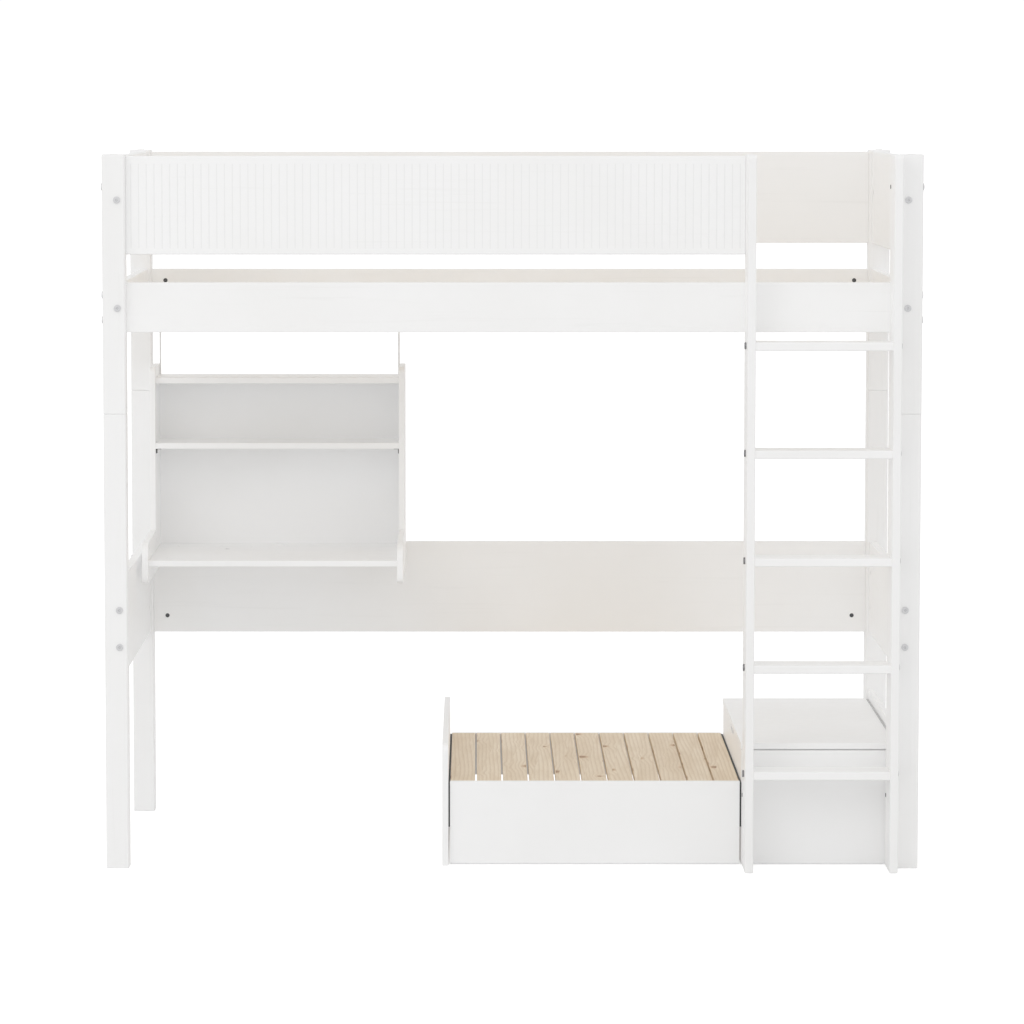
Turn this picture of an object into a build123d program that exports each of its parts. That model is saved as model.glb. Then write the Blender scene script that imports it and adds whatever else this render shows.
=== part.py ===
"""Loft bed with a hanging desk, a slatted day seat and a storage box below. Millimetres, +Z up.

The origin is on the floor under the middle of the whole object. The ladder is on the -Y side
and the desk hangs at the -X end.
"""
from build123d import *
import os

os.makedirs("parts", exist_ok=True)

# ---- Driving dimensions ----
bed_length = 2110
bed_depth = 1010
bed_height = 1852
post_size = 59
post_split = 1184                 # height at which a leg and its upper post meet
board = 22                        # thickness of the rails, guards, stiles and treads
thin_board = 16                   # thickness of the desk, shelf and seat panels
rail_centre = 38.5                # from a post's outer face to the middle of a rail
guard_bottom, guard_top = 1594, 1847
rail_bottom, rail_top = 1393.5, 1522
lower_bottom, lower_top = 506, 760

end_bolt_heights = (1735, 1457, 675.5, 579)
long_rail_bolts = (1490, 1425.5)
guard_bolt = 1768
lower_long_bolts = (712, 552)
nut_inset = 38                    # from a rail's end to its barrel nut

shank_radius = 3
shank_bore = 3.3
head_radius = 9
head_height = 4.5
nut_radius = 5.8
nut_bore = 6
nut_depth = 3                     # depth of a barrel nut's face below the board's face
nut_length = 13
nut_bore_depth = board - 4
rail_bore_depth = nut_inset + 9    # a rail bolt's bore, past its barrel nut
rod_inset = 2.3                    # from a desk side's inner face to its hanger rod's axis

ladder_reach = 78                 # how far the ladder stands out in front of the posts
ladder_width = 396
ladder_depth = 127.5
tread_depth = 95
tread_tops = (264, 541, 818, 1096, 1373)
housing = 6                       # depth that a tread's end enters its stile

desk_left, desk_width = -990, 700
desk_front, desk_top_height = 462, 757
shelf_front = 757
back_panel_front = 938            # all depths are measured back from the posts' front faces
unit_bottom, unit_top = 697, 1259
middle_shelf_height, top_shelf_height = 1051.5, 1230

arm_left = -182
seat_left, seat_right = -162, 594.5
seat_top, seat_rail = 219.5, 100
slat_count, slat_width, slat_thickness = 11, 64, 18
seat_back = 980

box_left, box_right = 599, 1020
box_front, box_back = 60, 950
box_rim, lid_height, wall_height = 301, 320, 345

# ---- Values worked out from them ----
x_out = bed_length / 2
x_in = x_out - post_size
front = -(bed_depth + head_height - ladder_reach) / 2      # the posts' front faces
back = front + bed_depth
rail_half = board / 2
end_plane = x_out - rail_centre
front_plane = front + rail_centre
back_plane = back - rail_centre
ladder_right = x_in
ladder_left = x_in - ladder_width
desk_right = desk_left + desk_width
desk_middle = desk_left + desk_width / 2
from_below = (Align.CENTER, Align.CENTER, Align.MIN)
from_above = (Align.CENTER, Align.CENTER, Align.MAX)
along_x, along_y = (1, 0, 0), (0, 1, 0)
against_x, against_y, downward = (-1, 0, 0), (0, -1, 0), (0, 0, -1)


def middle(limits):
    """Middle of a (low, high) pair."""
    return (limits[0] + limits[1]) / 2


def save(name, piece):
    """Labels a finished piece and writes it as its own STEP file."""
    piece.part.label = name
    export_step(piece.part, f"parts/{name}.step")


def board_piece(name, x, y, z, bores=(), edge=2.0):
    """Writes a straight board with softened edges. x, y and z are its (low, high) limits and
    a bore is a (start, direction, radius, depth) hole."""
    with BuildPart() as piece:
        with Locations((middle(x), middle(y), middle(z))):
            Box(x[1] - x[0], y[1] - y[0], z[1] - z[0])
        fillet(piece.edges(), edge)
        for start, direction, radius, depth in bores:
            with Locations(Plane(start, z_dir=direction).location):
                Cylinder(radius, depth, align=from_below, mode=Mode.SUBTRACT)
    save(name, piece)


def placed_copies(name, shape, planes):
    """Writes equal pieces as one node of separate solids, one for each plane."""
    with BuildPart() as group:
        with Locations(*[plane.location for plane in planes]):
            add(shape)
    save(name, group)


def end_joints(side, y, heights, inner):
    """Bores in one end of a long rail: a bolt's bore and its barrel nut's, at each height.
    side is the end's sign along X and inner the Y direction in which the nut bore opens."""
    bores = []
    for height in heights:
        bores.append(((side * x_in, y, height), (-side, 0, 0), shank_bore, rail_bore_depth))
        face = y + inner * rail_half
        nut = (side * (x_in - nut_inset), face, height)
        bores.append((nut, (0, -inner, 0), nut_bore, nut_bore_depth))
    return bores


def side_joints(x, heights, inner):
    """Bores in both ends of an end rail or end panel, as in end_joints but along Y."""
    bores = []
    for y, direction in ((front + post_size, 1), (back - post_size, -1)):
        for height in heights:
            bores.append(((x, y, height), (0, direction, 0), shank_bore, rail_bore_depth))
            nut = (x + inner * rail_half, y + direction * nut_inset, height)
            bores.append((nut, (-inner, 0, 0), nut_bore, nut_bore_depth))
    return bores


# ---- Posts: four legs below, four posts above, joined by pins ----
corners = {"front_left": (-1, -1), "front_right": (1, -1), "rear_left": (-1, 1), "rear_right": (1, 1)}
pin_radius, pin_length = 8, 90


def post_axis(sx, sy):
    """Middle of a post in plan."""
    return sx * (x_out - post_size / 2), middle((front, back)) + sy * (bed_depth - post_size) / 2


def post_piece(name, sx, sy, z, end_heights, long_heights, pin_end):
    """Writes one leg or upper post with its bolt bores. pin_end is the end with the pin bore."""
    px, py = post_axis(sx, sy)
    outer_y = front if sy < 0 else back
    plane_y = front_plane if sy < 0 else back_plane
    with BuildPart() as post:
        with BuildSketch(Plane.XY.offset(z[0])):
            with Locations((px, py)):
                RectangleRounded(post_size, post_size, 5)
        extrude(amount=z[1] - z[0])
        fillet(post.faces().sort_by(Axis.Z)[-1].edges(), 2.5)
        fillet(post.faces().sort_by(Axis.Z)[0].edges(), 2)
        for height in end_heights:
            with Locations(Plane((sx * end_plane, outer_y, height), z_dir=(0, -sy, 0)).location):
                Cylinder(shank_bore, post_size, align=from_below, mode=Mode.SUBTRACT)
        for height in long_heights:
            with Locations(Plane((sx * x_out, plane_y, height), z_dir=(-sx, 0, 0)).location):
                Cylinder(shank_bore, post_size, align=from_below, mode=Mode.SUBTRACT)
        with Locations((px, py, pin_end)):
            Cylinder(pin_radius + 0.1, pin_length, mode=Mode.SUBTRACT)
    save(name, post)


for corner, (sx, sy) in corners.items():
    upper_bolts = [guard_bolt, *long_rail_bolts]
    lower_bolts = lower_long_bolts if sy > 0 else ()
    post_piece(f"post_upper_{corner}", sx, sy, (post_split, bed_height),
               end_bolt_heights[:2], upper_bolts, post_split)
    post_piece(f"leg_lower_{corner}", sx, sy, (0, post_split), end_bolt_heights[2:], lower_bolts, post_split)

with BuildPart() as pin:
    Cylinder(pin_radius, pin_length - 1)
placed_copies("post_joint_pins", pin.part,
              [Plane((*post_axis(sx, sy), post_split)) for sx, sy in corners.values()])

with BuildPart() as cap:
    Cylinder(10, 1.2, align=from_below)
    fillet(cap.faces().sort_by(Axis.Z)[-1].edges(), 0.6)
placed_copies("post_caps", cap.part,
              [Plane((*post_axis(sx, sy), bed_height)) for sx, sy in corners.values()])

# ---- Guards and bed rails ----
front_span = (front_plane - rail_half, front_plane + rail_half)
back_span = (back_plane - rail_half, back_plane + rail_half)
between_posts = (front + post_size, back - post_size)
guard_z, rail_z, lower_z = (guard_bottom, guard_top), (rail_bottom, rail_top), (lower_bottom, lower_top)

groove_pitch, groove_count = 20.1, 79
groove_width, groove_depth, groove_length = 2.4, 0.8, 218
guard_end = ladder_left

with BuildPart() as front_guard:
    with Locations((middle((-x_in, guard_end)), front_plane, middle(guard_z))):
        Box(guard_end + x_in, board, guard_top - guard_bottom)
    fillet(front_guard.edges(), 3)
    for start, direction, radius, depth in end_joints(-1, front_plane, [guard_bolt], 1):
        with Locations(Plane(start, z_dir=direction).location):
            Cylinder(radius, depth, align=from_below, mode=Mode.SUBTRACT)
    with Locations(Plane((guard_end, front_plane, guard_bolt), z_dir=against_x).location):
        Cylinder(shank_bore, rail_bore_depth, align=from_below, mode=Mode.SUBTRACT)
    with Locations(Plane((guard_end - nut_inset, front_span[1], guard_bolt), z_dir=against_y).location):
        Cylinder(nut_bore, nut_bore_depth, align=from_below, mode=Mode.SUBTRACT)
    face_middle = (middle((-x_in, guard_end)), front_span[0], middle(guard_z) - 2)
    with BuildSketch(Plane(face_middle, x_dir=along_x, z_dir=against_y)):
        with GridLocations(groove_pitch, 0, groove_count, 1):
            SlotOverall(groove_length, groove_width, rotation=90)
    extrude(amount=-groove_depth, mode=Mode.SUBTRACT)
save("front_guard", front_guard)

board_piece("rear_guard", (-x_in, x_in), back_span, guard_z,
            end_joints(-1, back_plane, [guard_bolt], 1) + end_joints(1, back_plane, [guard_bolt], 1))
board_piece("front_bed_rail", (-x_in, x_in), front_span, rail_z,
            end_joints(-1, front_plane, long_rail_bolts, 1) + end_joints(1, front_plane, long_rail_bolts, 1))
board_piece("rear_bed_rail", (-x_in, x_in), back_span, rail_z,
            end_joints(-1, back_plane, long_rail_bolts, -1) + end_joints(1, back_plane, long_rail_bolts, -1))
board_piece("lower_rear_panel", (-x_in, x_in), back_span, lower_z,
            end_joints(-1, back_plane, lower_long_bolts, -1) + end_joints(1, back_plane, lower_long_bolts, -1))

end_panels = {"end_guard": (guard_z, end_bolt_heights[:1]),
              "end_bed_rail": (rail_z, end_bolt_heights[1:2]),
              "lower_end_panel": (lower_z, end_bolt_heights[2:])}
for side, sign in (("left", -1), ("right", 1)):
    span = (sign * end_plane - rail_half, sign * end_plane + rail_half)
    for name, (z, heights) in end_panels.items():
        board_piece(f"{name}_{side}", span, between_posts, z, side_joints(sign * end_plane, heights, -sign))

# ---- Mattress base: two ledgers and loose slats on them ----
ledger_top, ledger_size = 1437, (24, 32)
base_slat_count, base_slat_width, base_slat_thickness = 15, 68, 18
ledger_length = 1960
rod_x = [desk_left + thin_board + rod_inset, desk_right - thin_board - rod_inset]
rod_y = back_span[0] - 20
rod_radius, rod_engagement = 2.25, 12
with BuildPart() as ledgers:
    for y in (front_span[1] + ledger_size[0] / 2, back_span[0] - ledger_size[0] / 2):
        with Locations((0, y, ledger_top)):
            Box(ledger_length, ledger_size[0], ledger_size[1], align=from_above)
    fillet(ledgers.edges(), 2)
    for x in rod_x:
        with Locations((x, rod_y, ledger_top - ledger_size[1])):
            Cylinder(rod_radius + 0.2, rod_engagement, align=from_below, mode=Mode.SUBTRACT)
save("mattress_ledgers", ledgers)

base_slat_length = back_span[0] - front_span[1] - 4
with BuildPart() as base_slat:
    Box(base_slat_width, base_slat_length, base_slat_thickness, align=from_below)
    fillet(base_slat.edges().filter_by(Axis.Y), 3)
base_pitch = (ledger_length - base_slat_width - 10) / (base_slat_count - 1)
placed_copies("bed_slats", base_slat.part,
              [Plane(((i - (base_slat_count - 1) / 2) * base_pitch, middle((front, back)), ledger_top))
               for i in range(base_slat_count)])

# ---- Ladder ----
stile_front = front - ladder_reach
stile_back = stile_front + ladder_depth
tread_span = (stile_front + 4, stile_front + 4 + tread_depth)
tread_middle = middle(tread_span)
notch_play = 1.5
foot_insert = 187                 # height of the spare insert near each stile's foot
insert_radius = 5.5


def stile_piece(name, x_low, inner_side):
    """Writes one stile: a plank notched round the bed rail. inner_side is +1 if the treads
    are on its +X side."""
    inner_x = x_low + board if inner_side > 0 else x_low
    outer_x = x_low if inner_side > 0 else x_low + board
    with BuildPart() as stile:
        with BuildSketch(Plane.YZ.offset(x_low)):
            with BuildLine():
                Polyline((stile_front, 0), (stile_back, 0), (stile_back, rail_bottom - notch_play),
                         (front_span[0], rail_bottom - notch_play), (front_span[0], rail_top + notch_play),
                         (stile_back, rail_top + notch_play), (stile_back, bed_height - 1),
                         (stile_front, bed_height - 1), close=True)
            make_face()
        extrude(amount=board)
        front_face = stile.faces().sort_by(Axis.Y)[0]
        fillet(front_face.edges().sort_by(Axis.Z)[-1], 11)
        fillet(stile.edges().filter_by(GeomType.LINE).filter_by(Axis.Z).group_by(Axis.Y)[0], 3)
        fillet(stile.faces().sort_by(Axis.Z)[0].edges(), 2.9)
        for top in tread_tops:
            height = top - board / 2
            with Locations((inner_x - inner_side * housing / 2, tread_middle, height)):
                Box(housing, tread_depth, board, mode=Mode.SUBTRACT)
            with Locations(Plane((outer_x, tread_middle, height), z_dir=(inner_side, 0, 0)).location):
                Cylinder(shank_bore, board, align=from_below, mode=Mode.SUBTRACT)
        with Locations(Plane((x_low, front_plane, guard_bolt), z_dir=along_x).location):
            Cylinder(shank_bore, board, align=from_below, mode=Mode.SUBTRACT)
        with Locations(Plane((x_low, front_plane, foot_insert), z_dir=along_x).location):
            Cylinder(insert_radius, 12, align=from_below, mode=Mode.SUBTRACT)
        if inner_side < 0:
            with Locations(Plane((x_low, front_plane, guard_bolt), z_dir=along_x).location):
                Cylinder(insert_radius, 12, align=from_below, mode=Mode.SUBTRACT)
    save(name, stile)


stile_piece("ladder_stile_left", ladder_left, 1)
stile_piece("ladder_stile_right", ladder_right - board, -1)

tread_x = (ladder_left + board - housing, ladder_right - board + housing)
for number, top in enumerate(tread_tops, start=1):
    bolt_bores = [((tread_x[0], tread_middle, top - board / 2), along_x, shank_bore, 40),
                  ((tread_x[1], tread_middle, top - board / 2), against_x, shank_bore, 40)]
    board_piece(f"ladder_tread_{number}", tread_x, tread_span, (top - board, top), bolt_bores, edge=3)

with BuildPart() as insert:
    Cylinder(insert_radius - 0.2, 10, align=from_below)
    Cylinder(shank_bore, 10, align=from_below, mode=Mode.SUBTRACT)
insert_x = -1
placed_copies("ladder_inserts", insert.part,
              [Plane((ladder_left + insert_x, front_plane, foot_insert), z_dir=along_x),
               Plane((ladder_right - board + insert_x, front_plane, foot_insert), z_dir=along_x),
               Plane((ladder_right - board + insert_x, front_plane, guard_bolt), z_dir=along_x)])

# ---- Bolts and barrel nuts ----
socket_radius, socket_depth = 2.7, 1.5


def bolt_shape(shank_length):
    """Returns a domed bolt with a hexagon socket. Its shank points along +Z from the origin."""
    with BuildPart() as bolt:
        Cylinder(head_radius, head_height, align=from_above)
        fillet(bolt.faces().sort_by(Axis.Z)[0].edges(), 1.4)
        with BuildSketch(Plane.XY.offset(-head_height)):
            RegularPolygon(socket_radius, 6)
        extrude(amount=socket_depth, mode=Mode.SUBTRACT)
        Cylinder(shank_radius, shank_length, align=from_below)
    return bolt.part


rail_shank = post_size + nut_inset + 7
end_planes = []
for sx in (-1, 1):
    for height in end_bolt_heights:
        end_planes.append(Plane((sx * end_plane, front, height), z_dir=along_y))
        end_planes.append(Plane((sx * end_plane, back, height), z_dir=against_y))
placed_copies("end_rail_bolts", bolt_shape(rail_shank), end_planes)

long_planes = []
for sx in (-1, 1):
    for height in [guard_bolt, *long_rail_bolts, *lower_long_bolts]:
        long_planes.append(Plane((sx * x_out, back_plane, height), z_dir=(-sx, 0, 0)))
    for height in long_rail_bolts:
        long_planes.append(Plane((sx * x_out, front_plane, height), z_dir=(-sx, 0, 0)))
long_planes.append(Plane((-x_out, front_plane, guard_bolt), z_dir=along_x))
placed_copies("long_rail_bolts", bolt_shape(rail_shank), long_planes)

tread_bolt = bolt_shape(board + 32)
tread_planes = []
for top in tread_tops:
    tread_planes.append(Plane((ladder_left, tread_middle, top - board / 2), z_dir=along_x))
    tread_planes.append(Plane((ladder_right, tread_middle, top - board / 2), z_dir=against_x))

post_bolt = bolt_shape(post_size + board - 4)
guard_end_bolt = bolt_shape(board + nut_inset + 7)
with BuildPart() as ladder_bolts:
    with Locations(*[plane.location for plane in tread_planes]):
        add(tread_bolt)
    with Locations(Plane((x_out, front_plane, guard_bolt), z_dir=against_x).location):
        add(post_bolt)
    with Locations(Plane((ladder_left + board, front_plane, guard_bolt), z_dir=against_x).location):
        add(guard_end_bolt)
save("ladder_bolts", ladder_bolts)

with BuildPart() as barrel_nut:
    with Locations((0, 0, nut_depth)):
        Cylinder(nut_radius, nut_length, align=from_below)
    with Locations(Plane((-nut_radius, 0, rail_half), z_dir=along_x).location):
        Cylinder(shank_radius + 0.1, 2 * nut_radius, align=from_below, mode=Mode.SUBTRACT)
nut_planes = []
for sx in (-1, 1):
    nut_x = sx * (x_in - nut_inset)
    nut_planes.append(Plane((nut_x, back_span[1], guard_bolt), x_dir=along_x, z_dir=against_y))
    for height in [*long_rail_bolts, *lower_long_bolts]:
        nut_planes.append(Plane((nut_x, back_span[0], height), x_dir=along_x, z_dir=along_y))
    for height in long_rail_bolts:
        nut_planes.append(Plane((nut_x, front_span[1], height), x_dir=along_x, z_dir=against_y))
    inner_face = sx * (end_plane - rail_half)
    for height in end_bolt_heights:
        for y in (front + post_size + nut_inset, back - post_size - nut_inset):
            nut_planes.append(Plane((inner_face, y, height), x_dir=along_y, z_dir=(sx, 0, 0)))
for nut_x in (-x_in + nut_inset, guard_end - nut_inset):
    nut_planes.append(Plane((nut_x, front_span[1], guard_bolt), x_dir=along_x, z_dir=against_y))
placed_copies("barrel_nuts", barrel_nut.part, nut_planes)

# ---- Desk and shelf unit, hung from the bed and screwed to the lower rear panel ----
unit_back = back_span[0]
upper_depth = front + shelf_front - 2
ear_front = front + 440
ear_top = 803
ear_radius, ear_bend = 16, 42


def desk_side(name, x_low):
    """Writes one side panel: narrow beside the shelves, with a long ear under the desk top."""
    with BuildPart() as side:
        with BuildSketch(Plane.YZ.offset(x_low)):
            with BuildLine():
                Polyline((unit_back, unit_bottom), (ear_front, unit_bottom), (ear_front, ear_top),
                         (upper_depth, ear_top + 10), (upper_depth, unit_top), (unit_back, unit_top),
                         close=True)
            outline = make_face()
            inner_corner = outline.vertices().sort_by(Axis.Y)[2:4]
            fillet(inner_corner.sort_by(Axis.Z)[0], ear_bend)
        extrude(amount=thin_board)
        front_edges = side.edges().filter_by(Axis.X).sort_by(Axis.Y)[0:2]
        fillet(front_edges, ear_radius)
        top_corner = side.faces().sort_by(Axis.Z)[-1].edges().filter_by(Axis.X).sort_by(Axis.Y)[0]
        fillet(top_corner, ear_radius)
        fillet(side.faces().sort_by(Axis.X)[0].edges(), 1.2)
        fillet(side.faces().sort_by(Axis.X)[-1].edges(), 1.2)
    save(name, side)


desk_side("desk_side_left", desk_left)
desk_side("desk_side_right", desk_right - thin_board)

between_sides = (desk_left + thin_board, desk_right - thin_board)
back_panel_thickness = 10
back_panel_face = front + back_panel_front
cable_slot_length, cable_slot_width = 36, 26
with BuildPart() as desk_top:
    with Locations((desk_middle, middle((front + desk_front, back_panel_face)), desk_top_height)):
        Box(between_sides[1] - between_sides[0], back_panel_face - front - desk_front, thin_board,
            align=from_above)
    fillet(desk_top.edges(), 1.2)
    with BuildSketch(Plane((desk_middle, back_panel_face - 42, desk_top_height))):
        SlotOverall(cable_slot_length, cable_slot_width)
    extrude(amount=-thin_board, mode=Mode.SUBTRACT)
save("desk_top", desk_top)

board_piece("desk_back_panel", between_sides, (back_panel_face, back_panel_face + back_panel_thickness),
            (desk_top_height - thin_board, top_shelf_height - thin_board), edge=0.8)
board_piece("desk_middle_shelf", between_sides, (front + shelf_front, back_panel_face),
            (middle_shelf_height - thin_board, middle_shelf_height), edge=1.2)
board_piece("desk_top_shelf", between_sides,
            (front + shelf_front + 22, back_panel_face + back_panel_thickness),
            (top_shelf_height - thin_board, top_shelf_height), edge=1.2,
            bores=[((x, rod_y, top_shelf_height), downward, rod_radius + 0.2, rod_engagement) for x in rod_x])

bracket_leg, bracket_width, bracket_plate = 14, 20, 2.5
from_corner = (Align.MIN, Align.CENTER, Align.MAX)
with BuildPart() as bracket:
    Box(bracket_plate, bracket_width, bracket_leg, align=from_corner)
    Box(bracket_leg, bracket_width, bracket_plate, align=from_corner)
bracket_y = front + shelf_front + 30
shelf_underside = middle_shelf_height - thin_board
placed_copies("shelf_brackets", bracket.part,
              [Plane((between_sides[0], bracket_y, shelf_underside)),
               Plane((between_sides[1], bracket_y, shelf_underside), x_dir=against_x)])

rod_bottom = top_shelf_height - rod_engagement
rod_length = ledger_top - ledger_size[1] + rod_engagement - rod_bottom
with BuildPart() as hanger:
    Cylinder(rod_radius, rod_length, align=from_below)
placed_copies("desk_hangers", hanger.part, [Plane((x, rod_y, rod_bottom)) for x in rod_x])

# ---- Day seat: left arm, front board, frame and slats ----
seat_face = front + box_front
arm_span = (front + 40, front + seat_back)
with BuildPart() as seat_arm:
    with Locations((arm_left, middle(arm_span), 0)):
        Box(thin_board, arm_span[1] - arm_span[0], lid_height, align=(Align.MIN, Align.CENTER, Align.MIN))
    fillet(seat_arm.edges().filter_by(Axis.X).sort_by(Axis.Z)[-2:].sort_by(Axis.Y)[0], 18)
    fillet(seat_arm.faces().sort_by(Axis.X)[0].edges(), 1.5)
    fillet(seat_arm.faces().sort_by(Axis.X)[-1].edges(), 1.5)
save("seat_arm", seat_arm)

seat_x = (seat_left, seat_right)
frame_top = seat_top - slat_thickness
frame_z = (frame_top - seat_rail, frame_top)
board_piece("seat_front_board", seat_x, (seat_face, seat_face + thin_board), (2, seat_top), edge=1.5)
frame_y = (seat_face + thin_board, arm_span[1] - thin_board)
inner_x = (seat_left + thin_board, seat_right - thin_board)
with BuildPart() as side_rails:
    for x in (seat_left + thin_board / 2, seat_right - thin_board / 2):
        with Locations((x, middle(frame_y), frame_top)):
            Box(thin_board, frame_y[1] - frame_y[0], seat_rail, align=from_above)
    fillet(side_rails.edges(), 1.2)
save("seat_side_rails", side_rails)
board_piece("seat_front_rail", inner_x, (frame_y[0], frame_y[0] + thin_board), frame_z, edge=1.2)
board_piece("seat_rear_board", seat_x, (frame_y[1], arm_span[1]), (frame_z[0], seat_top), edge=1.5)

slat_pitch = (seat_right - seat_left - 3 - slat_width) / (slat_count - 1)
with BuildPart() as seat_slat:
    Box(slat_width, frame_y[1] - frame_y[0], slat_thickness, align=from_below)
    fillet(seat_slat.edges().filter_by(Axis.Y), 1.6)
placed_copies("seat_slats", seat_slat.part,
              [Plane((middle(seat_x) + (i - (slat_count - 1) / 2) * slat_pitch, middle(frame_y), frame_top))
               for i in range(slat_count)])

# Dark packing strips fill the gaps between the seat and its two neighbours.
strip_inset = 4
strip_y = (seat_face + strip_inset, arm_span[1] - strip_inset)
with BuildPart() as seat_spacers:
    for x in ((arm_left + thin_board, seat_left), (seat_right, box_left)):
        with Locations((middle(x), middle(strip_y), seat_top - strip_inset)):
            Box(x[1] - x[0], strip_y[1] - strip_y[0], seat_rail + thin_board, align=from_above)
save("seat_spacers", seat_spacers)

# ---- Storage box with a lid hinged along its right side ----
box_y = (front + box_front, front + box_back)
inside_x = (box_left + thin_board, box_right - thin_board)
grip_length, grip_depth = 132, 14
with BuildPart() as box_side:
    with Locations((box_left, middle(box_y), 0)):
        Box(thin_board, box_y[1] - box_y[0], box_rim, align=(Align.MIN, Align.CENTER, Align.MIN))
    fillet(box_side.edges(), 1.2)
    with BuildSketch(Plane((box_left, middle(box_y), box_rim), x_dir=along_y, z_dir=along_x)):
        SlotOverall(grip_length, 2 * grip_depth)
    extrude(amount=thin_board, mode=Mode.SUBTRACT)
save("box_side_left", box_side)

board_piece("box_side_right", (box_right - thin_board, box_right), box_y, (0, wall_height), edge=1.5)
board_piece("box_front", inside_x, (box_y[0], box_y[0] + thin_board), (2, box_rim), edge=1.2)
board_piece("box_back", inside_x, (box_y[1] - thin_board, box_y[1]), (2, box_rim), edge=1.2)
board_piece("box_bottom", inside_x, (box_y[0] + thin_board, box_y[1] - thin_board), (20, 30), edge=0.8)

hinge_x, hinge_z = box_right - thin_board - 3, lid_height - 2
knuckle_radius, hinge_pin_radius = 2.2, 1.2
leaf_thickness, leaf_height = 1, 13
lid_right = hinge_x - 3
lid_y = (box_y[0] + 1.5, box_y[1] - 1.5)
board_piece("box_lid", (box_left - 2, lid_right), lid_y, (lid_height - thin_board, lid_height), edge=1.2)

hinge_length = 860
knuckle_count = 21
knuckle_pitch = hinge_length / knuckle_count
hinge_start = middle(box_y) - hinge_length / 2


def hinge_half(name, leaf_x, first):
    """Writes one half of the piano hinge: its leaf and every second knuckle."""
    with BuildPart() as half:
        with Locations((leaf_x, middle(box_y), hinge_z)):
            Box(leaf_thickness, hinge_length, leaf_height, align=from_above)
        for i in range(knuckle_count):
            start = Plane((hinge_x, hinge_start + i * knuckle_pitch + 0.4, hinge_z), z_dir=along_y).location
            if i % 2 == first:
                with Locations(start):
                    Cylinder(knuckle_radius, knuckle_pitch - 0.8, align=from_below)
                arm = (middle((leaf_x, hinge_x)), hinge_start + (i + 0.5) * knuckle_pitch, hinge_z)
                with Locations(arm):
                    Box(abs(leaf_x - hinge_x), knuckle_pitch - 0.8, 2, align=from_above)
            else:
                with Locations((hinge_x, hinge_start + (i + 0.5) * knuckle_pitch, hinge_z)):
                    Box(2 * knuckle_radius + 0.8, knuckle_pitch, 2 * knuckle_radius + 0.8, mode=Mode.SUBTRACT)
        with Locations(Plane((hinge_x, hinge_start, hinge_z), z_dir=along_y).location):
            Cylinder(hinge_pin_radius + 0.08, hinge_length, align=from_below, mode=Mode.SUBTRACT)
    save(name, half)


hinge_half("hinge_fixed_leaf", box_right - thin_board - leaf_thickness / 2, 0)
hinge_half("hinge_lid_leaf", lid_right + leaf_thickness / 2, 1)

with BuildPart() as hinge_pin:
    with Locations(Plane((hinge_x, hinge_start, hinge_z), z_dir=along_y).location):
        Cylinder(hinge_pin_radius, hinge_length, align=from_below)
save("hinge_pin", hinge_pin)

with BuildPart() as pad:
    Cylinder(4, 2.2, align=from_below)
pad_x = box_left + thin_board / 2
placed_copies("lid_pads", pad.part, [Plane((pad_x, y, box_rim)) for y in (box_y[0] + 60, box_y[1] - 60)])
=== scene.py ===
"""The looks of the loft bed with desk: materials, floor, light and camera.

Every shape but the floor is the CAD's own. Lengths are in metres unless a comment says
otherwise.
"""
import math

import bmesh
import bpy
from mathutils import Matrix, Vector


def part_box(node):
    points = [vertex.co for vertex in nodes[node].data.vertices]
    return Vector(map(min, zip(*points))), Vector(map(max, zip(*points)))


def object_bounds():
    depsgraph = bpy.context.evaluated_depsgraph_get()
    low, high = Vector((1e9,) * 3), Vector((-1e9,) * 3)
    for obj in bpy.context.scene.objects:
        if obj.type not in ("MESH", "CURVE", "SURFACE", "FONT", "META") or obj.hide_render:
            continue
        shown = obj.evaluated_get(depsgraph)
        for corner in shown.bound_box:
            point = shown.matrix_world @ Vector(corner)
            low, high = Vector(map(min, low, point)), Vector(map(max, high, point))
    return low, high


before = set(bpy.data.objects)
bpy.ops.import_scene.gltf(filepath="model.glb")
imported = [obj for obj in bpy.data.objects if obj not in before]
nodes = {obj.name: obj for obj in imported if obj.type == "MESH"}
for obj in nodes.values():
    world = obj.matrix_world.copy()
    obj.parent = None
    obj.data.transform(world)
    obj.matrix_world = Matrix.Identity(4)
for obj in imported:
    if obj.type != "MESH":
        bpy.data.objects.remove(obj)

cad_low, cad_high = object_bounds()

# ---------------------------------------------------------------- node helpers

# The sockets of a Mix node that mixes colours.
MIX_FACTOR, MIX_FIRST, MIX_SECOND, MIX_RESULT = 0, 6, 7, 2
# The cosine between the rounded and the true normal: on a flat face, and on a fully rounded edge.
FLAT_COSINE, EDGE_COSINE = 0.995, 0.80


def material(name):
    """A new material with one Principled shader. Returns it, its tree and the shader."""
    made = bpy.data.materials.new(name)
    made.use_nodes = True
    tree = made.node_tree
    tree.nodes.clear()
    out = tree.nodes.new("ShaderNodeOutputMaterial")
    shader = tree.nodes.new("ShaderNodeBsdfPrincipled")
    tree.links.new(shader.outputs["BSDF"], out.inputs["Surface"])
    return made, tree, shader


def feed(tree, socket, value):
    """Links a socket's source, or sets a plain value."""
    if isinstance(value, bpy.types.NodeSocket):
        tree.links.new(value, socket)
    else:
        socket.default_value = value


def math_node(tree, operation, *values):
    """The result of one Math node. Each value is a number or a socket."""
    made = tree.nodes.new("ShaderNodeMath")
    made.operation = operation
    for socket, value in zip(made.inputs, values):
        feed(tree, socket, value)
    return made.outputs[0]


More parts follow.
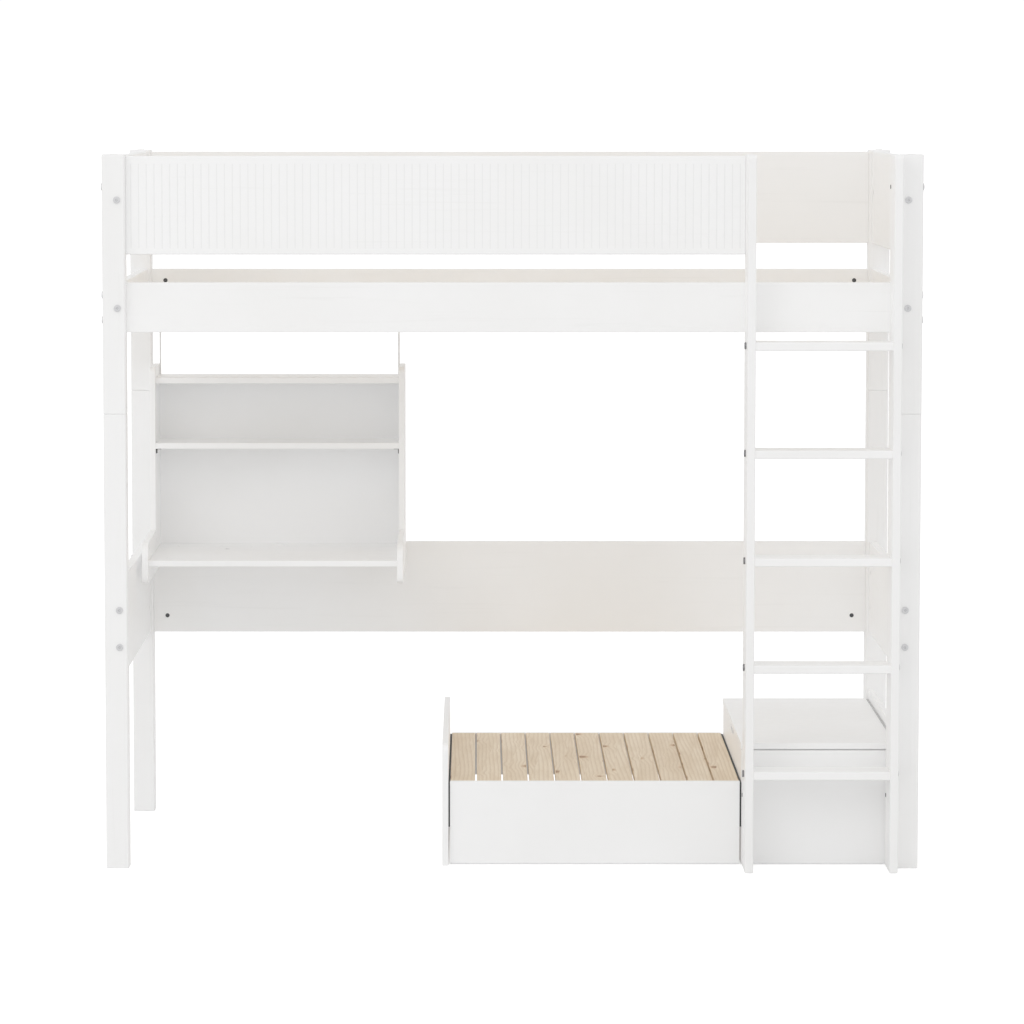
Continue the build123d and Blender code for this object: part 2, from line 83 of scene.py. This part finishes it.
def vector_node(tree, operation, *values):
    """The result of one Vector Math node: a number for a dot product or distance."""
    made = tree.nodes.new("ShaderNodeVectorMath")
    made.operation = operation
    for socket, value in zip(made.inputs, values):
        feed(tree, socket, value)
    return made.outputs["Value" if operation in ("DOT_PRODUCT", "DISTANCE") else "Vector"]


def span(tree, value, low, high, to_low=0.0, to_high=1.0, smooth=False):
    """Maps value from low..high to to_low..to_high, clamped."""
    made = tree.nodes.new("ShaderNodeMapRange")
    made.interpolation_type = "SMOOTHSTEP" if smooth else "LINEAR"
    for socket, given in zip(made.inputs, (value, low, high, to_low, to_high)):
        feed(tree, socket, given)
    return made.outputs[0]


def noise(tree, place, scale, detail, rough, distortion=0.0):
    """A noise pattern, about 0 to 1, with scale features per metre of place."""
    made = tree.nodes.new("ShaderNodeTexNoise")
    feed(tree, made.inputs["Vector"], place)
    made.inputs["Scale"].default_value = scale
    made.inputs["Detail"].default_value = detail
    made.inputs["Roughness"].default_value = rough
    made.inputs["Distortion"].default_value = distortion
    return made.outputs[0]


def mix_colour(tree, factor, first, second):
    """The colour that is first where factor is 0 and second where it is 1."""
    made = tree.nodes.new("ShaderNodeMix")
    made.data_type = "RGBA"
    feed(tree, made.inputs[MIX_FACTOR], factor)
    feed(tree, made.inputs[MIX_FIRST], first)
    feed(tree, made.inputs[MIX_SECOND], second)
    return made.outputs[MIX_RESULT]


def place_of(tree, scale=(1.0, 1.0, 1.0)):
    """The point in the object's own frame, stretched by scale."""
    coordinates = tree.nodes.new("ShaderNodeTexCoord").outputs["Object"]
    mapping = tree.nodes.new("ShaderNodeMapping")
    feed(tree, mapping.inputs["Vector"], coordinates)
    mapping.inputs["Scale"].default_value = scale
    return mapping.outputs[0]


def bump(tree, shader, *layers):
    """Chains bump layers, each (height, distance in metres, strength), into the shader."""
    normal = None
    for height, distance, strength in layers:
        made = tree.nodes.new("ShaderNodeBump")
        made.inputs["Distance"].default_value = distance
        made.inputs["Strength"].default_value = strength
        feed(tree, made.inputs["Height"], height)
        if normal is not None:
            feed(tree, made.inputs["Normal"], normal)
        normal = made.outputs[0]
    feed(tree, shader.inputs["Normal"], normal)


def edge_mask(tree, radius):
    """0 on flat faces and up to 1 on a rounded edge. It places the lacquer's wear, the metal's
    painted dark edge reflection and the moulded parts' lighter edges.
    """
    bevel = tree.nodes.new("ShaderNodeBevel")
    bevel.samples = 4
    bevel.inputs["Radius"].default_value = radius
    geometry = tree.nodes.new("ShaderNodeNewGeometry")
    dot = vector_node(tree, "DOT_PRODUCT", bevel.outputs[0], geometry.outputs["Normal"])
    return span(tree, dot, FLAT_COSINE, EDGE_COSINE, smooth=True)


def island_random(tree):
    """A fixed number from 0 to 1 for each separate part of a mesh."""
    return tree.nodes.new("ShaderNodeNewGeometry").outputs["Random Per Island"]


def split(tree, value):
    """The X, Y and Z of a vector, as three sockets."""
    apart = tree.nodes.new("ShaderNodeSeparateXYZ")
    feed(tree, apart.inputs[0], value)
    return apart.outputs


def rgba(r, g, b):
    return (r, g, b, 1.0)


def scaled(colour, factor):
    """The colour with its red, green and blue times factor."""
    return tuple(value * factor for value in colour[:3]) + (1.0,)


# ---------------------------------------------------------------- materials

# Features per metre of the lacquer's grain lines, by the axis the grain runs along.
ALONG, ACROSS, EVEN = 2.2, 70.0, 26.0
GRAIN_SCALE = {
    None: (EVEN, EVEN, EVEN),
    "x": (ALONG, ACROSS, ACROSS),
    "y": (ACROSS, ALONG, ACROSS),
    "z": (ACROSS, ACROSS, ALONG),
}
# The grooves' walls and floors lie this far behind the board's front face.
GROOVE_NEAR, GROOVE_FAR = 0.0003, 0.0012
GROOVE_MARGIN = 0.006       # the width at the board's ends, top and bottom that is left plain


def groove_shade_mask(tree, place, low, high):
    """1 inside the grooves of the board's front face, within its box, and 0 elsewhere. It places
    the grooves' painted shade.
    """
    x, y, z = split(tree, place)
    inside = math_node(tree, "MULTIPLY",
                       math_node(tree, "GREATER_THAN", y, low[1] + GROOVE_NEAR),
                       math_node(tree, "LESS_THAN", y, low[1] + GROOVE_FAR))
    for value, first, last in ((x, low[0], high[0]), (z, low[2], high[2])):
        past_first = math_node(tree, "GREATER_THAN", value, first + GROOVE_MARGIN)
        inside = math_node(tree, "MULTIPLY", inside, past_first)
        before_last = math_node(tree, "LESS_THAN", value, last - GROOVE_MARGIN)
        inside = math_node(tree, "MULTIPLY", inside, before_last)
    return inside


def lacquer(name, grain, tone, grain_depth, roughness, warm, grooved=None):
    """Satin white lacquer on wood.

    grain is the axis that the wood's grain runs along, or None for a smooth coated board.
    grain_depth is the grain's relief, and warm is the strength of a slight yellow tint.
    grooved is the box of a board whose front grooves get a little painted shade: their colour is
    darkened for the shade that falls in them.
    """
    made, tree, shader = material(name)
    plain = place_of(tree)
    island = island_random(tree)
    lines = noise(tree, place_of(tree, GRAIN_SCALE[grain]), 1.0, 6.0, 0.62, 0.4)
    clouds = noise(tree, plain, 2.6, 3.0, 0.5)
    peel = noise(tree, plain, 620.0, 2.0, 0.5)
    smears = noise(tree, plain, 34.0, 5.0, 0.62)
    base = rgba(tone, tone * (1.0 - 0.004 * warm), tone * (1.0 - 0.010 * warm))
    shade = rgba(tone * 0.965, tone * (0.963 - 0.006 * warm), tone * (0.958 - 0.016 * warm))
    colour = mix_colour(tree, span(tree, clouds, 0.36, 0.66, 0.0, 0.55, True), base, shade)
    pores = span(tree, lines, 0.56, 0.74, 0.0, 0.30 if grain else 0.05, True)
    colour = mix_colour(tree, pores, colour, rgba(tone * 0.90, tone * 0.895, tone * 0.88))
    worn = math_node(tree, "MULTIPLY", edge_mask(tree, 0.0014),
                     span(tree, smears, 0.42, 0.66, 0.06, 0.30))
    colour = mix_colour(tree, worn, colour, rgba(tone * 0.91, tone * 0.905, tone * 0.89))
    # Painted shade: the colour inside the grooves is a little darker, for the shade that falls in
    # them.
    if grooved:
        inside = groove_shade_mask(tree, plain, *grooved)
        colour = mix_colour(tree, inside, colour, rgba(tone * 0.94, tone * 0.94, tone * 0.935))
    feed(tree, shader.inputs["Base Color"], colour)
    rough = span(tree, smears, 0.30, 0.72, roughness - 0.07, roughness + 0.09)
    rough = math_node(tree, "ADD", rough, span(tree, island, 0.0, 1.0, -0.02, 0.02))
    feed(tree, shader.inputs["Roughness"], rough)
    shader.inputs["IOR"].default_value = 1.47
    shader.inputs["Coat Weight"].default_value = 0.12
    shader.inputs["Coat Roughness"].default_value = 0.22
    layers = [(peel, 0.00004, 0.35)]
    if grain:
        layers.append((lines, grain_depth, 0.55))
    bump(tree, shader, *layers)
    return made


# How far each slat's piece of the pattern is moved, per unit of its random number.
SLAT_SHIFT = (3.7, 11.3, 5.9)
# One knot at most in each cell. KNOT_STRETCH makes it longer along the grain and drops its height.
KNOT_CELL = (0.074, 0.46, 0.074)
KNOT_STRETCH = (1.0, 0.72, 0.0)
KNOT_RADII = (0.0055, 0.0195)
# Where the knot's core, its ring and the bent grain around it end and are full, in radii.
KNOT_PARTS = ((1.05, 0.72), (1.8, 1.0), (6.0, 0.6))
KNOT_RING, KNOT_CORE = rgba(0.50, 0.31, 0.15), rgba(0.30, 0.155, 0.065)
BANDS_PER_METRE = 92.0      # the growth rings across a slat


def pine(name, light, dark, knots):
    """Clear lacquered pine with its grain along Y. Each slat has its own piece of the pattern.

    light and dark are the colours between and in the growth rings. knots is the share of cells
    that have a knot.
    """
    made, tree, shader = material(name)
    island = island_random(tree)
    shift = tree.nodes.new("ShaderNodeCombineXYZ")
    for socket, factor in zip(shift.inputs, SLAT_SHIFT):
        feed(tree, socket, math_node(tree, "MULTIPLY", island, factor))
    place = vector_node(tree, "ADD", place_of(tree), shift.outputs[0])

    # Knots: a round spot around one point in each cell.
    voronoi = tree.nodes.new("ShaderNodeTexVoronoi")
    voronoi.voronoi_dimensions = "2D"
    voronoi.inputs["Scale"].default_value = 1.0
    voronoi.inputs["Randomness"].default_value = 0.75
    feed(tree, voronoi.inputs["Vector"], vector_node(tree, "DIVIDE", place, KNOT_CELL))
    centre = vector_node(tree, "MULTIPLY", voronoi.outputs["Position"],
                         (KNOT_CELL[0], KNOT_CELL[1], 0.0))
    centre = vector_node(tree, "MULTIPLY", centre, KNOT_STRETCH)
    flat_place = vector_node(tree, "MULTIPLY", place, KNOT_STRETCH)
    distance = vector_node(tree, "DISTANCE", flat_place, centre)
    parted = tree.nodes.new("ShaderNodeSeparateColor")
    feed(tree, parted.inputs[0], voronoi.outputs["Color"])
    present = math_node(tree, "GREATER_THAN", parted.outputs[0], 1.0 - knots)
    radius = span(tree, parted.outputs[1], 0.0, 1.0, *KNOT_RADII)
    ratio = math_node(tree, "DIVIDE", distance, radius)
    core, ring, halo = [
        math_node(tree, "MULTIPLY", span(tree, ratio, end, full, smooth=True), present)
        for end, full in KNOT_PARTS
    ]

    # Grain: bands across the slat, pushed aside by slow waves and by the knots.
    across = split(tree, place)[0]
    slow = noise(tree, vector_node(tree, "MULTIPLY", place, (5.0, 0.8, 5.0)), 1.0, 2.0, 0.5)
    bent = math_node(tree, "ADD", across, span(tree, slow, 0.25, 0.75, -0.013, 0.013))
    bent = math_node(tree, "ADD", bent, math_node(tree, "MULTIPLY", halo, 0.010))
    bands = math_node(tree, "FRACT", math_node(tree, "MULTIPLY", bent, BANDS_PER_METRE))
    late = span(tree, bands, 0.35, 0.92, 0.0, 1.0, True)
    late = math_node(tree, "MULTIPLY", late, span(tree, bands, 1.0, 0.93, 0.0, 1.0))
    fibre = noise(tree, vector_node(tree, "MULTIPLY", place, (900.0, 16.0, 900.0)), 1.0, 4.0, 0.6)
    broad = noise(tree, vector_node(tree, "MULTIPLY", place, (22.0, 3.0, 22.0)), 1.0, 3.0, 0.5)

    colour = mix_colour(tree, span(tree, broad, 0.34, 0.68, smooth=True), light,
                        tuple(0.62 * a + 0.38 * b for a, b in zip(light, dark)))
    tint = span(tree, island, 0.0, 1.0, 0.0, 0.30)
    colour = mix_colour(tree, tint, colour, tuple(0.5 * (a + b) for a, b in zip(light, dark)))
    colour = mix_colour(tree, math_node(tree, "MULTIPLY", late, 0.52), colour, dark)
    colour = mix_colour(tree, span(tree, fibre, 0.50, 0.72, 0.0, 0.28), colour, scaled(dark, 0.86))
    colour = mix_colour(tree, math_node(tree, "MULTIPLY", ring, 0.75), colour, KNOT_RING)
    colour = mix_colour(tree, math_node(tree, "MULTIPLY", core, 0.9), colour, KNOT_CORE)
    feed(tree, shader.inputs["Base Color"], colour)
    rough = span(tree, fibre, 0.3, 0.7, 0.46, 0.62)
    rough = math_node(tree, "SUBTRACT", rough, math_node(tree, "MULTIPLY", late, 0.06))
    feed(tree, shader.inputs["Roughness"], rough)
    shader.inputs["Coat Weight"].default_value = 0.10
    shader.inputs["Coat Roughness"].default_value = 0.35
    bump(tree, shader, (late, 0.00010, 0.5), (fibre, 0.00012, 0.6), (core, 0.0003, 0.4))
    return made


def metal(name, colour, low, high, scratch, dirt):
    """Plated metal: cloudy roughness, fine scratches, painted shade in its corners and creases and
    a painted dark reflection on its edges.

    low and high are its least and greatest roughness, scratch is the strength of its scratches,
    and dirt is the brightness of its darker clouds.
    """
    made, tree, shader = material(name)
    plain = place_of(tree)
    clouds = noise(tree, plain, 210.0, 5.0, 0.6)
    grit = noise(tree, plain, 2600.0, 3.0, 0.6)
    streaks = noise(tree, place_of(tree, (2400.0, 2400.0, 150.0)), 1.0, 3.0, 0.55)
    body = mix_colour(tree, span(tree, clouds, 0.35, 0.72, 0.0, 0.65, True), colour,
                      scaled(colour, dirt))
    # Painted shade: the colour is darker where the ambient occlusion finds close corners and
    # creases, where shade falls.
    occlusion = tree.nodes.new("ShaderNodeAmbientOcclusion")
    occlusion.samples = 4
    occlusion.inputs["Distance"].default_value = 0.002
    crevice_shade = span(tree, occlusion.outputs["AO"], 0.75, 0.15, 0.0, 0.55)
    body = mix_colour(tree, crevice_shade, body, scaled(colour, 0.30))
    # Painted reflection: the edges are darker, standing for the dark that rounded metal edges
    # reflect.
    rim = math_node(tree, "MULTIPLY", edge_mask(tree, 0.0013), 0.75)
    body = mix_colour(tree, rim, body, scaled(colour, 0.42))
    feed(tree, shader.inputs["Base Color"], body)
    shader.inputs["Metallic"].default_value = 1.0
    feed(tree, shader.inputs["Roughness"], span(tree, clouds, 0.3, 0.75, low, high))
    bump(tree, shader, (grit, 0.00003, 0.3), (streaks, 0.00004, scratch))
    return made


def moulded(name, colour, roughness, grit_scale, grit_depth):
    """Moulded or powder-coated surface: a fine even texture with slight colour clouds."""
    made, tree, shader = material(name)
    plain = place_of(tree)
    clouds = noise(tree, plain, 60.0, 4.0, 0.6)
    grit = noise(tree, plain, grit_scale, 3.0, 0.6)
    body = mix_colour(tree, span(tree, clouds, 0.35, 0.7, 0.0, 0.7, True), colour,
                      scaled(colour, 0.86))
    lighter = tuple(min(1.0, value * 1.2 + 0.02) for value in colour[:3]) + (1.0,)
    rim = math_node(tree, "MULTIPLY", edge_mask(tree, 0.0006), 0.35)
    body = mix_colour(tree, rim, body, lighter)
    feed(tree, shader.inputs["Base Color"], body)
    rough = span(tree, grit, 0.3, 0.7, roughness - 0.08, roughness + 0.08)
    feed(tree, shader.inputs["Roughness"], rough)
    bump(tree, shader, (grit, grit_depth, 0.5))
    return made


WHITE = 0.86
SOFT_WHITE = WHITE * 0.985
GRAIN_DEPTH = 0.00016
wood_x = lacquer("lacquer_grain_x", "x", WHITE, GRAIN_DEPTH, 0.40, 0.6)
guard_x = lacquer("lacquer_grooved", "x", WHITE, GRAIN_DEPTH, 0.40, 0.3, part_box("front_guard"))
wood_y = lacquer("lacquer_grain_y", "y", WHITE, GRAIN_DEPTH, 0.40, 0.6)
wood_z = lacquer("lacquer_grain_z", "z", SOFT_WHITE, GRAIN_DEPTH, 0.40, 0.6)
rear_x = lacquer("lacquer_rear_x", "x", SOFT_WHITE, GRAIN_DEPTH, 0.44, 1.3)
smooth = lacquer("lacquer_board", None, WHITE, 0.0, 0.36, 0.25)
seat_pine = pine("pine_seat", rgba(0.755, 0.645, 0.495), rgba(0.54, 0.395, 0.24), 0.62)
base_pine = pine("pine_base", rgba(0.74, 0.655, 0.53), rgba(0.58, 0.46, 0.32), 0.25)
zinc = metal("zinc_plated", rgba(0.70, 0.70, 0.71), 0.46, 0.62, 0.2, 0.90)
# Dark plated metal, partly painted shade: the barrel nuts and ladder inserts are near-black,
# standing for the shade of the holes they sit in.
dark_zinc = metal("zinc_shaded", rgba(0.13, 0.13, 0.135), 0.42, 0.60, 0.3, 0.75)
# Dark grey plated metal for the ladder bolts' heads.
side_zinc = metal("zinc_dark_grey", rgba(0.30, 0.30, 0.31), 0.40, 0.58, 0.3, 0.78)
hinge_steel = metal("hinge_steel", rgba(0.60, 0.60, 0.60), 0.22, 0.38, 0.6, 0.85)
black = moulded("black_coated", rgba(0.022, 0.022, 0.024), 0.46, 1800.0, 0.00006)
white_coat = moulded("white_coated", rgba(0.74, 0.74, 0.73), 0.34, 1500.0, 0.00004)
white_plastic = moulded("white_plastic", rgba(0.80, 0.80, 0.78), 0.42, 2200.0, 0.00004)
# Painted shade: the spacers beside the seat are near-black, standing for the shade in the narrow
# gaps between the seat and its arms.
seat_gap_shade = moulded("packing_strip", rgba(0.055, 0.055, 0.057), 0.78, 900.0, 0.00012)
pad_rubber = moulded("pad_rubber", rgba(0.55, 0.55, 0.53), 0.72, 1400.0, 0.00010)

# The material of each node, by the start of its name. The longest start that fits is used.
BY_START = {
    "post_upper": wood_z, "leg_lower": wood_z, "ladder_stile": wood_z,
    "front_guard": guard_x, "front_bed_rail": wood_x, "ladder_tread": wood_x,
    "rear_guard": rear_x, "rear_bed_rail": rear_x, "lower_rear_panel": rear_x,
    "end_guard": wood_y, "end_bed_rail": wood_y, "lower_end_panel": wood_y,
    "desk_": smooth, "seat_arm": smooth, "seat_front_board": smooth, "box_": smooth,
    "seat_side_rails": wood_y, "seat_front_rail": wood_x, "seat_rear_board": smooth,
    "seat_slats": seat_pine, "bed_slats": base_pine, "mattress_ledgers": base_pine,
    "end_rail_bolts": zinc, "long_rail_bolts": zinc, "post_joint_pins": zinc,
    "barrel_nuts": dark_zinc, "ladder_inserts": dark_zinc, "ladder_bolts": side_zinc,
    "hinge_": hinge_steel, "shelf_brackets": black, "desk_hangers": white_coat,
    "post_caps": white_plastic, "lid_pads": pad_rubber, "seat_spacers": seat_gap_shade,
}
for name, piece in nodes.items():
    start = max((key for key in BY_START if name.startswith(key)), key=len)
    for entry in piece.material_slots:
        entry.material = BY_START[start]

# ---------------------------------------------------------------- floor, light and camera

FLOOR_HALF = 220.0
FLOOR_TONE = 0.78
# The floor glows to the camera only, so that it looks white and still lights the bed as a floor.
FLOOR_GLOW = 0.40
# The studio's walls: dimmer as a light than they look, so that the lamps give the shapes shade.
AMBIENT, BACKDROP = 0.80, 1.05

KEY_PLACE, KEY_AIM = (-3.5, -6.0, 5.0), (0.0, 0.0, 0.9)
KEY_WIDTH, KEY_HEIGHT, KEY_WATTS = 4.0, 3.0, 44.0
FILL_RISE, FILL_STRENGTH, FILL_ANGLE = 0.55, 0.42, math.radians(40.0)

# The camera that was fitted to the photograph. CAMERA_AWAY is measured from the front legs.
FOCAL_PIXELS, IMAGE_PIXELS, PITCH = 4542.0, 1024.0, math.radians(5.249)
SENSOR_WIDTH = 36.0         # millimetres
SHIFT_X = 0.0348            # image widths
CAMERA_X, CAMERA_AWAY, CAMERA_HEIGHT = -0.093, 11.680, 2.004
CLIP_END = 500.0


def add(thing):
    bpy.context.scene.collection.objects.link(thing)


def plane_mesh(name, half):
    """A level square, as a grid, that reaches half to each side of its centre."""
    mesh = bpy.data.meshes.new(name)
    made = bmesh.new()
    bmesh.ops.create_grid(made, x_segments=8, y_segments=8, size=half)
    made.to_mesh(mesh)
    made.free()
    return bpy.data.objects.new(name, mesh)


centre = (cad_low + cad_high) / 2
floor = plane_mesh("floor", FLOOR_HALF)
floor.location = (centre.x, centre.y, cad_low.z)
add(floor)
floor_material, tree, shader = material("floor")
shader.inputs["Base Color"].default_value = rgba(FLOOR_TONE, FLOOR_TONE, FLOOR_TONE)
shader.inputs["Roughness"].default_value = 0.9
shader.inputs["Specular IOR Level"].default_value = 0.1
seen = tree.nodes.new("ShaderNodeLightPath").outputs["Is Camera Ray"]
shader.inputs["Emission Color"].default_value = rgba(1.0, 1.0, 1.0)
feed(tree, shader.inputs["Emission Strength"], math_node(tree, "MULTIPLY", seen, FLOOR_GLOW))
floor.data.materials.append(floor_material)

world = bpy.data.worlds.new("studio")
world.use_nodes = True
tree = world.node_tree
seen = tree.nodes.new("ShaderNodeLightPath").outputs["Is Camera Ray"]
background = tree.nodes["Background"]
background.inputs["Color"].default_value = rgba(1.0, 1.0, 1.0)
feed(tree, background.inputs["Strength"], span(tree, seen, 0.0, 1.0, AMBIENT, BACKDROP))
bpy.context.scene.world = world
bpy.context.scene.view_settings.view_transform = "Standard"


def soft_light(name, place, aim, width, height, power):
    """A rectangular lamp at place that faces aim."""
    data = bpy.data.lights.new(name, "AREA")
    data.shape = "RECTANGLE"
    data.size, data.size_y, data.energy = width, height, power
    made = bpy.data.objects.new(name, data)
    made.location = place
    made.rotation_euler = (Vector(aim) - Vector(place)).to_track_quat("-Z", "Y").to_euler()
    add(made)


def fill_light(name, direction, strength):
    """A broad light from direction with no shadow, for a white room's many reflections."""
    data = bpy.data.lights.new(name, "SUN")
    data.energy, data.angle, data.use_shadow = strength, FILL_ANGLE, False
    made = bpy.data.objects.new(name, data)
    made.rotation_euler = (-Vector(direction)).to_track_quat("-Z", "Y").to_euler()
    add(made)


soft_light("key", KEY_PLACE, KEY_AIM, KEY_WIDTH, KEY_HEIGHT, KEY_WATTS)
for side in (-1, 1):
    for depth in (-1, 1):
        fill_light(f"fill_{side}_{depth}", (side, depth, FILL_RISE), FILL_STRENGTH)

camera_data = bpy.data.cameras.new("camera")
camera = bpy.data.objects.new("camera", camera_data)
add(camera)
bpy.context.scene.camera = camera
camera_data.sensor_width = SENSOR_WIDTH
camera_data.lens = FOCAL_PIXELS / IMAGE_PIXELS * SENSOR_WIDTH
camera_data.shift_x = SHIFT_X
camera_data.clip_end = CLIP_END
camera_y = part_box("leg_lower_front_left")[0][1] - CAMERA_AWAY
camera.location = (CAMERA_X, camera_y, CAMERA_HEIGHT)
camera.rotation_euler = (math.pi / 2 - PITCH, 0.0, 0.0)
